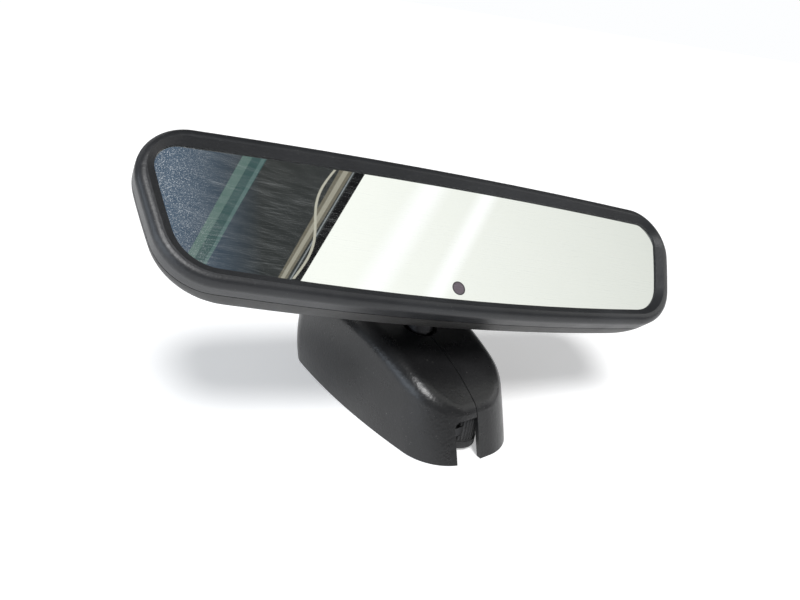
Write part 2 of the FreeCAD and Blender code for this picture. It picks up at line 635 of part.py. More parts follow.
def foot_outline(inset, rise):
    """Plan outline of the foot at a share of the roof height, set in by a wall."""
    side_in = size["side_draw"] * rise ** 2.2
    back_in = size["back_draw"] * rise ** 2.6
    swell = size["back_swell"] * math.sin(math.pi * rise)
    front = -size["foot_front"] + size["front_draw"] * rise + inset
    back = size["foot_length"] - size["foot_front"] - back_in - inset + swell / 2
    front_half = size["foot_front_half"] - side_in - inset
    back_half = size["foot_back_half"] - side_in - inset + swell
    corners = [Vector(-back_half, back, 0), Vector(back_half, back, 0),
               Vector(front_half, front, 0), Vector(-front_half, front, 0)]
    edges = [size["foot_back_radius"], size["foot_side_radius"],
             size["foot_end_radius"], size["foot_side_radius"]]
    back_round = size["foot_back_round"] * back_half / size["foot_back_half"]
    front_round = size["foot_front_round"] * front_half / size["foot_front_half"]
    rounds = [back_round, back_round, front_round, front_round]
    wire = rounded_outline(corners, edges, rounds, AXIS_Z)
    wire.translate(AXIS_Z * size["foot_roof"] * rise)
    return wire


def crown_block(sink):
    """Everything under the top of the cover, which is slightly dished across the foot."""
    front = -size["foot_front"]
    ridge = [(-6.0, 10.5), (8.0, 21.4), (20.0, 29.2), (34.0, 35.2), (46.7, 39.0), (62.0, 41.5),
             (80.0, 41.5), (96.0, 37.0), (118.0, 23.0)]
    wires = []
    for across in (-CROWN_REACH, 0, CROWN_REACH):
        lift = size["crown_dish"] * abs(across) / CROWN_REACH - sink
        points = [Vector(across, front + along, height + lift) for along, height in ridge]
        top = Part.BSplineCurve()
        top.interpolate(points)
        low_back = Vector(across, points[-1].y, -10)
        low_front = Vector(across, points[0].y, -10)
        wires.append(Part.Wire([top.toShape(), Part.makeLine(points[-1], low_back),
                                Part.makeLine(low_back, low_front),
                                Part.makeLine(low_front, points[0])]))
    return Part.makeLoft(wires, True)


def cover_block(inset):
    """Curved walls cut off by the crowned top, with the soft ridge between."""
    walls = Part.makeLoft([foot_outline(inset, rise) for rise in (0, 1 / 3, 2 / 3, 1)], True)
    block = walls.common(crown_block(inset))
    ridge = [edge for edge in block.Edges if edge.BoundBox.ZMin > 8
             and edge.BoundBox.ZMax - edge.BoundBox.ZMin < 20]
    return block.makeFillet(size["ridge_round"] - inset, ridge)


def make_foot_cover():
    """Two halves of the cover, split along the middle of the foot."""
    wall = size["shell_wall"]
    inner = cover_block(wall)
    shell = cover_block(0).cut(inner)
    shell = shell.cut(Part.makeBox(100, 150, 20, Vector(-50, -75, -20)))
    shell = shell.cut(cylinder_along(AXIS_Z, ORIGIN, size["neck_hole_radius"], 60))
    half_gap = size["part_gap"] / 2
    right_side = Part.makeBox(60, 160, 80, Vector(half_gap, -80, -5))
    left_side = Part.makeBox(60, 160, 80, Vector(-half_gap - 60, -80, -5))
    notch = Part.makeBox(size["notch_width"] + 5, 24, size["notch_tall"] + 10,
                         Vector(-size["notch_width"], -size["foot_front"] - 10, -10))
    corner = [edge for edge in notch.Edges
              if abs(edge.CenterOfMass.x + size["notch_width"]) < 0.001
              and abs(edge.CenterOfMass.z - size["notch_tall"]) < 0.001]
    notch = notch.makeFillet(size["notch_round"], corner)
    shape_part("foot_cover_left", shell.common(left_side).cut(notch), FOOT_PLACEMENT)
    shape_part("foot_cover_right", shell.common(right_side), FOOT_PLACEMENT)


# ---------------------------------------------------------------- foot inside

def make_foot_base():
    """Cast base: round socket for the button, arms to the cover and a shelf."""
    tall = size["base_tall"]
    depth = size["button_depth"]
    base = Part.makeCylinder(size["base_radius"], tall)
    for start, length in ((-42, 26), (18, 30)):
        base = base.fuse(Part.makeBox(24, length, 4, Vector(-12, start, tall - 4)))
    base = base.fuse(Part.makeBox(44, 14, 4, Vector(-22, 26, tall - 4)))
    base = base.cut(Part.makeCylinder(size["button_radius"], depth))
    recess_top = depth + 0.3 + size["spring_thick"]
    base = base.cut(Part.makeCylinder(size["spring_radius"] + 0.3, recess_top - depth, ORIGIN
                                      + AXIS_Z * depth))
    width = size["finger_width"] + 0.6
    for angle in (90, 210, 330):
        slot = Part.makeBox(5, width, recess_top, Vector(size["button_radius"] - 3, -width / 2, 0))
        slot.rotate(ORIGIN, AXIS_Z, angle)
        base = base.cut(slot)
    for point in around(11.0, (30, 150, 270), recess_top):
        base = base.cut(cylinder_along(AXIS_Z, point, 1.2, 3))
    for point in around(SCREW_RING, (90, 210, 330), tall - 3.5):
        base = base.cut(cylinder_along(AXIS_Z, point, 1.5, 6))
    grommet = Vector(GROMMET_X, GROMMET_Y, 0)
    base = base.cut(cylinder_along(AXIS_Z, grommet, size["grommet_radius"] + 0.1, 30))
    shape_part("foot_base", base.removeSplitter(), FOOT_PLACEMENT)

    plate_low = recess_top - size["spring_thick"]
    spring = Part.makeCylinder(size["spring_radius"], size["spring_thick"], AXIS_Z * plate_low)
    spring = spring.cut(Part.makeCylinder(size["spring_hole_radius"], 20))
    for angle in (90, 210, 330):
        finger = Part.makeBox(size["spring_thick"], size["finger_width"], plate_low - 0.8,
                              Vector(size["spring_radius"] - size["spring_thick"] - 0.2,
                                     -size["finger_width"] / 2, 1.0))
        finger.rotate(ORIGIN, AXIS_Z, angle)
        spring = spring.fuse(finger)
    for point in around(11.0, (30, 150, 270)):
        spring = spring.cut(cylinder_along(AXIS_Z, point, 1.2, 20))
    shape_part("button_spring", spring.removeSplitter(), FOOT_PLACEMENT)
    rivets = [cylinder_along(AXIS_Z, point, 1.2, recess_top + 3 - plate_low)
              for point in around(11.0, (30, 150, 270), plate_low)]
    shape_part("spring_rivets", Part.makeCompound(rivets), FOOT_PLACEMENT)


def make_grommet():
    """Round rubber grommet with upright ribs, a plain bottom band and a bore."""
    body = doc.addObject("PartDesign::Body", "cable_grommet")
    plane = origin_plane(body, "XY_Plane")

    def circle_sketch(name, radius, height):
        sketch = body.newObject("Sketcher::SketchObject", name)
        sketch.AttachmentSupport = (plane, "")
        sketch.MapMode = "FlatFace"
        sketch.AttachmentOffset = FreeCAD.Placement(AXIS_Z * height, Rotation())
        sketch.addGeometry(Part.Circle(ORIGIN, AXIS_Z, size["grommet_radius"]), False)
        constrain(sketch, "Coincident", 0, 3, -1, 1)
        bend = constrain(sketch, "Radius", 0, size["grommet_radius"])
        sketch.setExpression(f"Constraints[{bend}]", radius)
        return sketch

    band = body.newObject("PartDesign::Pad", "grommet_band")
    band.Profile = circle_sketch("band_circle", "Sizes.grommet_radius + 0.4", 0)
    band.Length = 3.0
    column = body.newObject("PartDesign::Pad", "grommet_column")
    column.Profile = circle_sketch("column_circle", "Sizes.grommet_radius", 0)
    bind(column, Length="Sizes.grommet_tall")
    bore = body.newObject("PartDesign::Pocket", "grommet_bore")
    bore.Profile = circle_sketch("bore_circle", "Sizes.grommet_radius - 4", 0)
    bore.Reversed = True
    bind(bore, Length="Sizes.grommet_tall")
    rib = body.newObject("Sketcher::SketchObject", "rib_groove")
    rib.AttachmentSupport = (plane, "")
    rib.MapMode = "FlatFace"
    rib.AttachmentOffset = FreeCAD.Placement(AXIS_Z * 3.6, Rotation())
    rib.addGeometry(Part.Circle(Vector(size["grommet_radius"], 0, 0), AXIS_Z, 0.45), False)
    reach = constrain(rib, "DistanceX", -1, 1, 0, 3, size["grommet_radius"])
    constrain(rib, "PointOnObject", 0, 3, -1)
    constrain(rib, "Radius", 0, 0.45)
    rib.setExpression(f"Constraints[{reach}]", "Sizes.grommet_radius")
    groove = body.newObject("PartDesign::Pocket", "grommet_groove")
    groove.Profile = rib
    groove.Reversed = True
    bind(groove, Length="Sizes.grommet_tall")
    doc.recompute()
    pattern = body.newObject("PartDesign::PolarPattern", "grommet_ribs")
    pattern.Originals = [groove]
    pattern.Axis = (rib, ["N_Axis"])
    pattern.Angle = 360
    pattern.Occurrences = 36
    body.Tip = pattern
    register(body, FreeCAD.Placement(Vector(GROMMET_X, GROMMET_Y, 1.2), Rotation()))


def make_harness_socket():
    """Connector shell beside the grommet, open towards the notch end."""
    shell = Part.makeBox(10.4, 14, 6.6, SOCKET_LOW)
    hollow = Part.makeBox(8.0, 10.5, 4.4, SOCKET_LOW + Vector(1.2, 0, 1.1))
    pins = [Part.makeBox(0.6, 7, 0.6, SOCKET_LOW + Vector(2.1 + 1.4 * step, 5.0, 3.0))
            for step in range(5)]
    shape_part("harness_terminals", Part.makeCompound(pins), FOOT_PLACEMENT)
    shell = shell.cut(hollow)
    for pin in pins:
        shell = shell.cut(pin)
    shape_part("harness_socket", shell, FOOT_PLACEMENT)


def make_cover_clips():
    """Two steel clips that hold the cover halves to the base."""
    clips = []
    for side in (-1, 1):
        outer = Part.makeBox(3.0, 8, 6, Vector(-1.5, -4, -1))
        inner = Part.makeBox(2.0, 8, 5, Vector(-1.0 + 0.5 * side, -4, -0.5))
        clip = outer.cut(inner)
        clip.translate(Vector(side * 23.6, 33, size["base_tall"] - 4))
        clips.append(clip)
    shape_part("cover_clips", Part.makeCompound(clips), FOOT_PLACEMENT)


# ---------------------------------------------------------------- build and write

make_glass_stack()
make_head_shells()
make_carrier()
make_board()
make_sensors()
make_ball_joint()
make_pivot_arm()
make_foot_base()
make_foot_cover()
make_grommet()
make_harness_socket()
make_cover_clips()

doc.recompute()
for item in doc.Objects:
    faults = [state for state in item.State if state in ("Invalid", "Error")]
    if faults:
        raise RuntimeError(f"{item.Name} is {faults[0]}")
for item in parts:
    if item.Shape.isNull() or not item.Shape.isValid() or item.Shape.Volume <= 0:
        raise RuntimeError(f"{item.Label} has no valid shape")

os.makedirs("parts", exist_ok=True)
for item in parts:
    item.Shape.exportStep(os.path.join("parts", item.Label + ".step"))
    print(f"{item.Label:22s} {item.Shape.Volume / 1000:8.2f} cm3, solids {len(item.Shape.Solids)}")
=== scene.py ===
import json
import math

import bpy
from mathutils import Matrix, Vector


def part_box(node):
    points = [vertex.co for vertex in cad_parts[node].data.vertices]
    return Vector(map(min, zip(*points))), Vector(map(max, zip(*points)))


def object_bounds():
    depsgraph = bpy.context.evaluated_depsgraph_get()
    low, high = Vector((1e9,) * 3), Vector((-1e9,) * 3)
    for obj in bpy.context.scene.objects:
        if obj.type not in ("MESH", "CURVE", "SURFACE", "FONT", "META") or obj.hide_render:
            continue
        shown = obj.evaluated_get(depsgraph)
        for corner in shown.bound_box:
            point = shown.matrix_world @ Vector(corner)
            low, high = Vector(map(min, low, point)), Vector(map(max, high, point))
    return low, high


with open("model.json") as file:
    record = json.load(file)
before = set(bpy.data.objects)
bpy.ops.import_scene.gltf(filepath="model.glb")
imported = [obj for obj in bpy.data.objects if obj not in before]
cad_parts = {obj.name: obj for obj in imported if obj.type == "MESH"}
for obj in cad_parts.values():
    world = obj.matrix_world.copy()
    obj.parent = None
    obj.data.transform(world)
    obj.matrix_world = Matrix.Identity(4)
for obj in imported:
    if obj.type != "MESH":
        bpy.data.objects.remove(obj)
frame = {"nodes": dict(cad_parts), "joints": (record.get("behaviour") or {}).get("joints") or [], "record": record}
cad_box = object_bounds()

# Interior rearview mirror on its windscreen foot. Lengths are in metres unless a
# name ends in _MM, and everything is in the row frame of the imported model.

MM = 0.001
SCENE = bpy.context.scene
SLOT_OF = {part["node"]: part["material_slot"] for part in frame["record"]["subparts"]}

# ------------------------------------------------------------ the head's own frame

HEAD_SWING, HEAD_TIP, HEAD_TURN = -22.0, -45.9, 9.7     # degrees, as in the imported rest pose
BALL_IN_HEAD = Vector((0, 22, -4)) * MM                 # ball centre behind and below the glass centre
BALL_CENTRE = Vector(frame["joints"][0]["pos_m"])
HEAD = (Matrix.Rotation(math.radians(HEAD_SWING), 3, "Z")
        @ Matrix.Rotation(math.radians(HEAD_TIP), 3, "X")
        @ Matrix.Rotation(math.radians(HEAD_TURN), 3, "Z"))
ALONG = HEAD.col[0].copy()      # along the glass
INWARD = HEAD.col[1].copy()     # from the glass into the head
UPWARD = HEAD.col[2].copy()     # up the glass
GLASS_CENTRE = BALL_CENTRE - HEAD @ BALL_IN_HEAD
GLASS_HALF = 0.119              # from the middle of the glass to its upper corners
PANE_THICK = 0.002
SPOT_RADIUS = 0.003             # clear spot in the coating, in front of the glare sensor

# ------------------------------------------------------------ camera

CAMERA_PLACE = Vector((-0.1953, -0.2079, 0.1712))
CAMERA_FORWARD = Vector((0.606, 0.692, -0.392)).normalized()
CAMERA_UP = Vector((0.139, 0.392, 0.909))
CAMERA_LENS = 31.5              # on a 36 mm wide sensor


def make_camera():
    """Camera at the photograph's viewing angle, a little above and to the left."""
    data = bpy.data.cameras.new("camera")
    data.lens = CAMERA_LENS
    data.sensor_width = 36.0
    data.clip_start = 0.01
    data.clip_end = 50.0
    camera = bpy.data.objects.new("camera", data)
    SCENE.collection.objects.link(camera)
    side = CAMERA_FORWARD.cross(CAMERA_UP).normalized()
    upright = side.cross(CAMERA_FORWARD)
    turn = Matrix((side, upright, -CAMERA_FORWARD)).transposed()
    camera.matrix_world = Matrix.Translation(CAMERA_PLACE) @ turn.to_4x4()
    SCENE.camera = camera


# ------------------------------------------------------------ material helper

class Finish:
    """A procedural material: its node tree, its Principled shader and short ways to add nodes."""

    def __init__(self, name, **sockets):
        self.material = bpy.data.materials.new(name)
        self.material.use_nodes = True
        self.tree = self.material.node_tree
        self.shader = self.tree.nodes["Principled BSDF"]
        for socket, value in sockets.items():
            self.shader.inputs[socket.replace("_", " ")].default_value = value
        self.place = self.add("ShaderNodeTexCoord").outputs["Object"]

    def add(self, kind, values=None, **settings):
        """A new node, with its settings and the values or links of its inputs."""
        node = self.tree.nodes.new(kind)
        for name, value in settings.items():
            setattr(node, name, value)
        for socket, value in (values or {}).items():
            if isinstance(value, bpy.types.NodeSocket):
                self.tree.links.new(value, node.inputs[socket])
            else:
                node.inputs[socket].default_value = value
        return node

    def noise(self, size_mm, detail=2.0, place=None):
        """Noise whose lumps are about size_mm across, from 0 to 1."""
        values = {"Vector": place or self.place, "Scale": 1 / (size_mm * MM), "Detail": detail}
        return self.add("ShaderNodeTexNoise", values).outputs["Fac"]

    def cells(self, size_mm):
        """Distance to the nearest of random points about size_mm apart."""
        values = {"Vector": self.place, "Scale": 1 / (size_mm * MM)}
        return self.add("ShaderNodeTexVoronoi", values).outputs["Distance"]

    def maths(self, operation, first, second=0.0):
        """One step of arithmetic."""
        node = self.add("ShaderNodeMath", {0: first, 1: second}, operation=operation)
        return node.outputs[0]

    def span(self, value, low, high, bottom=0.0, top=1.0):
        """The value from low..high brought to bottom..top, and held there."""
        values = {"Value": value, "From Min": low, "From Max": high, "To Min": bottom, "To Max": top}
        return self.add("ShaderNodeMapRange", values, clamp=True).outputs["Result"]

    def mix(self, share, first, second):
        """Colour between first and second."""
        node = self.add("ShaderNodeMix", {0: share}, data_type="RGBA")
        for index, colour in ((6, first), (7, second)):
            if isinstance(colour, bpy.types.NodeSocket):
                self.tree.links.new(colour, node.inputs[index])
            else:
                node.inputs[index].default_value = (*colour, 1)
        return node.outputs[2]

    def measure(self, direction, origin=Vector()):
        """How far a point lies along a direction, in metres."""
        moved = self.add("ShaderNodeVectorMath", {0: self.place, 1: origin}, operation="SUBTRACT")
        values = {0: moved.outputs[0], 1: direction}
        return self.add("ShaderNodeVectorMath", values, operation="DOT_PRODUCT").outputs["Value"]

    def stretched(self, directions, shrinks):
        """Coordinates along three directions, each shrunk by its factor."""
        axes = [self.maths("MULTIPLY", self.measure(direction), shrink)
                for direction, shrink in zip(directions, shrinks)]
        node = self.add("ShaderNodeCombineXYZ", dict(enumerate(axes)))
        return node.outputs[0]

    def edges(self, radius_mm):
        """Near 1 on sharp edges and near 0 on flats."""
        soft = self.add("ShaderNodeBevel", {"Radius": radius_mm * MM}, samples=4).outputs[0]
        flat = self.add("ShaderNodeNewGeometry").outputs["Normal"]
        dot = self.add("ShaderNodeVectorMath", {0: soft, 1: flat}, operation="DOT_PRODUCT")
        return self.span(dot.outputs["Value"], 0.98, 0.75)

    def bump(self, height, depth_mm, normal=None):
        """Normal of a surface with bumps of that depth."""
        values = {"Height": height, "Distance": depth_mm * MM, "Strength": 1.0}
        if normal:
            values["Normal"] = normal
        return self.add("ShaderNodeBump", values).outputs[0]

    def drive(self, socket, value):
        """Link a value to the shader."""
        self.tree.links.new(value, self.shader.inputs[socket])

    def tune(self, socket, base, *changes):
        """Drive a socket with a base value plus (value, amount) changes around the middle."""
        total = None
        for value, amount in changes:
            part = self.maths("MULTIPLY", self.maths("SUBTRACT", value, 0.5), amount)
            total = part if total is None else self.maths("ADD", total, part)
        self.drive(socket, self.maths("ADD", total, base))


# ------------------------------------------------------------ finishes

SHARP_ANGLE = 32.0              # edges sharper than this many degrees stay sharp


def moulded(name, colour, roughness, grain_mm=0.55, grain_depth_mm=0.03, dust=0.12):
    """Satin moulded plastic: fine spark-eroded grain, faint flow marks, worn edges, dust."""
    finish = Finish(name, IOR=1.5, Specular_IOR_Level=0.5)
    grain = finish.noise(grain_mm, 3.0)
    pits = finish.cells(grain_mm * 1.6)
    flow = finish.noise(38.0, 3.0)
    touch = finish.noise(9.0, 5.0)
    speck = finish.span(finish.noise(0.8, 1.0), 0.70, 0.76)
    lint = finish.maths("MULTIPLY", speck, finish.span(touch, 0.45, 0.65))
    worn = finish.maths("MULTIPLY", finish.edges(0.5), finish.span(finish.noise(3.0, 4.0), 0.35, 0.7))
    light = tuple(min(1.0, part * 1.9 + 0.008) for part in colour)
    rubbed = tuple(min(1.0, part * 2.2 + 0.03) for part in colour)
    base = finish.mix(finish.span(flow, 0.35, 0.7, 0.0, 0.5), colour, light)
    base = finish.mix(finish.maths("MULTIPLY", worn, 0.6), base, rubbed)
    base = finish.mix(finish.maths("MULTIPLY", lint, dust), base, (0.46, 0.45, 0.42))
    finish.drive("Base Color", base)
    finish.tune("Roughness", roughness, (flow, 0.10), (touch, 0.16), (grain, 0.10))
    height = finish.maths("ADD", grain, finish.maths("MULTIPLY", pits, 0.6))
    coarse = finish.bump(touch, 0.05)
    finish.drive("Normal", finish.bump(height, grain_depth_mm, coarse))
    return finish.material


def metal(name, colour, roughness, direction=(0, 0, 1), stretch=14.0, tarnish=(0.25, 0.22, 0.18)):
    """Metal with drawing or turning lines along one direction, stains and brighter edges."""
    finish = Finish(name, Metallic=1.0)
    axis = Vector(direction).normalized()
    side = axis.orthogonal().normalized()
    place = finish.stretched((axis, side, axis.cross(side)), (1 / stretch, 1.0, 1.0))
    lines = finish.noise(0.3, 3.0, place)
    stain = finish.noise(7.0, 5.0)
    bright = tuple(min(1.0, part * 1.25) for part in colour)
    base = finish.mix(finish.span(stain, 0.5, 0.75, 0.0, 0.35), colour, tarnish)
    base = finish.mix(finish.edges(0.3), base, bright)
    finish.drive("Base Color", base)
    finish.tune("Roughness", roughness, (lines, 0.22), (stain, 0.2))
    finish.drive("Normal", finish.bump(lines, 0.012))
    return finish.material


def cast_metal(name, colour):
    """Die-cast zinc: soft orange-peel skin, flow lines and dull patches."""
    finish = Finish(name, Metallic=0.9)
    peel = finish.noise(0.9, 3.0)
    flow = finish.noise(11.0, 5.0)
    dull = tuple(part * 0.6 for part in colour)
    finish.drive("Base Color", finish.mix(finish.span(flow, 0.35, 0.7), colour, dull))
    finish.tune("Roughness", 0.46, (flow, 0.2), (peel, 0.12))
    finish.drive("Normal", finish.bump(peel, 0.05))
    return finish.material


def rubber(name, colour, roughness=0.72, pore_mm=0.5):
    """Matt rubber with pale bloom and pores."""
    finish = Finish(name, Specular_IOR_Level=0.35, Sheen_Weight=0.12, Sheen_Roughness=0.6)
    pores = finish.noise(pore_mm, 4.0)
    bloom = finish.noise(5.0, 4.0)
    pale = tuple(part * 2.4 + 0.02 for part in colour)
    finish.drive("Base Color", finish.mix(finish.span(bloom, 0.4, 0.75, 0.0, 0.6), colour, pale))
    finish.tune("Roughness", roughness, (bloom, 0.18), (pores, 0.1))
    finish.drive("Normal", finish.bump(pores, 0.05))
    return finish.material


def foam(name, colour):
    """Open-cell foam tape, with painted shade darkening the middle of each pore."""
    finish = Finish(name, Roughness=0.95, Specular_IOR_Level=0.2)
    cells = finish.cells(0.8)
    pore_shade = tuple(part * 0.35 for part in colour)
    # painted shade: the colour darkens towards the middle of each cell, where the bump sinks into a pore
    finish.drive("Base Color", finish.mix(finish.span(cells, 0.1, 0.5), pore_shade, colour))
    finish.tune("Roughness", 0.9, (cells, 0.1))
    finish.drive("Normal", finish.bump(cells, 0.3))
    return finish.material


def mirror_coat(name):
    """Silvered back of the self-dimming glass: a clear reflection with a faint green cast."""
    finish = Finish(name, Metallic=1.0)
    cloud = finish.noise(20.0, 3.0)
    base = finish.mix(cloud, (0.90, 0.925, 0.905), (0.88, 0.91, 0.895))
    finish.drive("Base Color", base)
    finish.tune("Roughness", 0.012, (cloud, 0.012))
    return finish.material


def wipe_marks(finish, lean, size_mm, run):
    """Fine lines left by a cloth that was drawn along the glass at a slight lean."""
    wiped = (ALONG - UPWARD * lean).normalized()
    crossed = (UPWARD + ALONG * lean).normalized()
    return finish.noise(size_mm, 3.0, finish.stretched((wiped, crossed, INWARD), (1 / run, 1, 1)))


STEEP_LEAN, LEVEL_LEAN = 0.24, 0.03      # how far each set of wipe marks leans along the glass
LINE_SHOWS, VEIL_SHOWS = 0.10, 0.035     # how strongly lines and veil show


def pane_marks(finish):
    """How much wipe marks, a grey veil and dust hide at each place of the glass, and where they lie."""
    patch = finish.noise(14.0, 3.0)
    across = finish.measure(ALONG, GLASS_CENTRE)
    left = finish.span(across, -0.35 * GLASS_HALF, -0.85 * GLASS_HALF)
    border = finish.span(across, -0.80 * GLASS_HALF, -0.97 * GLASS_HALF)
    steep = finish.span(wipe_marks(finish, STEEP_LEAN, 0.40, 45.0), 0.52, 0.72)
    level = finish.span(wipe_marks(finish, LEVEL_LEAN, 0.32, 60.0), 0.54, 0.74)
    lines = finish.maths("ADD", finish.maths("MULTIPLY", steep, left), level)
    lines = finish.maths("MULTIPLY", lines, finish.span(patch, 0.30, 0.62))
    veil = finish.span(wipe_marks(finish, STEEP_LEAN, 2.6, 6.0), 0.40, 0.72)
    veil_place = finish.maths("ADD", finish.maths("MULTIPLY", left, 0.9), 0.1)
    veil = finish.maths("MULTIPLY", veil, veil_place)
    speckle = finish.span(finish.noise(0.36, 1.0), 0.56, 0.66)
    amount = finish.maths("ADD", finish.maths("MULTIPLY", border, 0.45), 0.02)
    marks = finish.maths("ADD", finish.maths("MULTIPLY", lines, LINE_SHOWS),
                         finish.maths("MULTIPLY", veil, VEIL_SHOWS))
    return finish.maths("ADD", marks, finish.maths("MULTIPLY", speckle, amount)), patch


def front_pane(name):
    """Pane whose front shows the silvered reflection, the sensor's spot, wipe marks and dust."""
    finish = Finish(name, IOR=1.5, Specular_IOR_Level=0.5)
    marks, patch = pane_marks(finish)
    dust = finish.mix(patch, (0.55, 0.62, 0.70), (0.70, 0.74, 0.78))
    front = finish.span(finish.measure(INWARD, GLASS_CENTRE), 0.15 * PANE_THICK, 0.05 * PANE_THICK)
    cloud = finish.noise(20.0, 3.0)
    silver = finish.mix(cloud, (0.925, 0.945, 0.925), (0.905, 0.93, 0.91))
    filter_colour, away = sensor_look(finish)
    spot = finish.span(away, SPOT_RADIUS, 0.97 * SPOT_RADIUS)
    face = finish.mix(marks, finish.mix(spot, silver, filter_colour), dust)
    finish.drive("Base Color", finish.mix(front, (0.30, 0.40, 0.36), face))
    covered = finish.maths("MAXIMUM", spot, marks)
    shiny = finish.maths("SUBTRACT", 1.0, covered)
    finish.drive("Metallic", finish.maths("MULTIPLY", front, shiny))
    finish.drive("Alpha", finish.maths("MAXIMUM", front, 0.5))
    smooth = finish.span(cloud, 0.2, 0.8, 0.010, 0.018)
    finish.drive("Roughness", finish.maths("ADD", smooth, finish.maths("MULTIPLY", spot, 0.3)))
    return finish.material


def clear_film(name, colour, solid):
    """Clear gel or clear moulding, seen through with little of its own colour."""
    finish = Finish(name, IOR=1.45)
    cloud = finish.noise(12.0, 2.0)
    pale = tuple(min(1.0, part * 1.1) for part in colour)
    finish.drive("Base Color", finish.mix(cloud, colour, pale))
    finish.drive("Alpha", finish.span(cloud, 0.2, 0.8, solid * 0.7, solid))
    finish.tune("Roughness", 0.15, (cloud, 0.08))
    return finish.material


def sensor_look(finish):
    """Colour of the dark purplish filter with its darker rim, and the distance from its middle."""
    low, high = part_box("sensor_window")
    centre = (low + high) / 2
    across = finish.measure(ALONG, centre)
    upright = finish.measure(UPWARD, centre)
    square = finish.maths("ADD", finish.maths("MULTIPLY", across, across),
                          finish.maths("MULTIPLY", upright, upright))
    away = finish.maths("SQRT", square)
    middle = finish.mix(finish.noise(0.9, 2.0), (0.085, 0.064, 0.080), (0.125, 0.100, 0.118))
    rim = finish.span(away, 0.72 * SPOT_RADIUS, 0.92 * SPOT_RADIUS)
    return finish.mix(rim, middle, (0.016, 0.012, 0.015)), away


def sensor_filter(name):
    """Filter disc in front of the glare sensor."""
    finish = Finish(name, IOR=1.5, Coat_Weight=0.3, Coat_Roughness=0.1)
    colour, away = sensor_look(finish)
    finish.drive("Base Color", colour)
    finish.tune("Roughness", 0.3, (finish.noise(0.9, 2.0), 0.1))
    return finish.material


def circuit_laminate(name):
    """Green solder mask with copper tracks under it and pale pads."""
    finish = Finish(name, Coat_Weight=0.4, Coat_Roughness=0.2)
    place = finish.stretched((ALONG, UPWARD, INWARD), (1, 1, 1))
    bricks = finish.add("ShaderNodeTexBrick", {
        "Vector": place, "Scale": 160.0, "Mortar Size": 0.03, "Color1": (0.016, 0.11, 0.05, 1),
        "Color2": (0.022, 0.15, 0.07, 1), "Mortar": (0.05, 0.24, 0.12, 1)})
    pads = finish.span(finish.cells(3.5), 0.16, 0.13)
    finish.drive("Base Color", finish.mix(pads, bricks.outputs["Color"], (0.62, 0.6, 0.52)))
    finish.tune("Roughness", 0.36, (finish.noise(6.0, 3.0), 0.15))
    finish.drive("Normal", finish.bump(bricks.outputs["Fac"], 0.04))
    return finish.material


def make_finishes():
    """One material for each of the record's slots."""
    return {
        "bezel_black": moulded("bezel_black", (0.0105, 0.0110, 0.0125), 0.40, grain_mm=0.75,
                               grain_depth_mm=0.04),
        "housing_black": moulded("housing_black", (0.0165, 0.0160, 0.0155), 0.50),
        "cover_black": moulded("cover_black", (0.0085, 0.0085, 0.0090), 0.31, grain_mm=0.9,
                               grain_depth_mm=0.05),
        "clear_glass": front_pane("clear_glass"),
        "gel": clear_film("gel", (0.55, 0.68, 0.60), 0.02),
        "mirror_coat": mirror_coat("mirror_coat"),
        "seal_grey": rubber("seal_grey", (0.12, 0.12, 0.12), 0.6),
        "sensor_dark": sensor_filter("sensor_dark"),
        "spring_steel": metal("spring_steel", (0.55, 0.55, 0.54), 0.34, ALONG),
        "foam_black": foam("foam_black", (0.05, 0.05, 0.052)),
        "carrier_plastic": moulded("carrier_plastic", (0.055, 0.055, 0.057), 0.55, grain_mm=0.9),
        "board_green": circuit_laminate("board_green"),
        "chip_black": moulded("chip_black", (0.018, 0.018, 0.019), 0.6, grain_mm=0.25),
        "capacitor_can": metal("capacitor_can", (0.68, 0.68, 0.70), 0.28, INWARD),
        "clear_plastic": clear_film("clear_plastic", (0.75, 0.77, 0.78), 0.35),
        "connector_ivory": moulded("connector_ivory", (0.62, 0.57, 0.45), 0.45, grain_mm=0.4),
        "joint_plastic": moulded("joint_plastic", (0.032, 0.032, 0.035), 0.5),
        "liner_white": moulded("liner_white", (0.72, 0.71, 0.67), 0.4, grain_mm=0.8),
        "arm_steel": metal("arm_steel", (0.035, 0.035, 0.037), 0.42, (0, 0, 1),
                           tarnish=(0.02, 0.018, 0.016)),
        "zinc_screw": metal("zinc_screw", (0.62, 0.61, 0.58), 0.3, (0, 0, 1), stretch=2.0),
        "die_cast": cast_metal("die_cast", (0.07, 0.07, 0.073)),
        "grommet_rubber": rubber("grommet_rubber", (0.014, 0.014, 0.015)),
        "connector_black": moulded("connector_black", (0.02, 0.02, 0.02), 0.5, grain_mm=0.4),
        "terminal_brass": metal("terminal_brass", (0.72, 0.55, 0.24), 0.25, (0, 1, 0)),
    }


def dress_nodes(finishes):
    """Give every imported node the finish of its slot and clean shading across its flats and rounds."""
    for name, item in frame["nodes"].items():
        item.data.materials.clear()
        item.data.materials.append(finishes[SLOT_OF[name]])
        split = item.modifiers.new("sharp_edges", "EDGE_SPLIT")
        split.split_angle = math.radians(SHARP_ANGLE)
        weigh = item.modifiers.new("even_shading", "WEIGHTED_NORMAL")
        weigh.keep_sharp = False
        weigh.weight = 50


# ------------------------------------------------------------ studio

FLOOR_HALF = 40.0
FLOOR_GAP = 0.0002              # below the rim, so that the two faces don't coincide
KEY_FROM = Vector((-0.24, -0.46, 0.84))
KEY_ENERGY = 2.5
KEY_SPREAD = 20.0               # degrees across
CARD_HEIGHT = 0.9               # how far in front of the glass the reflected cards stand


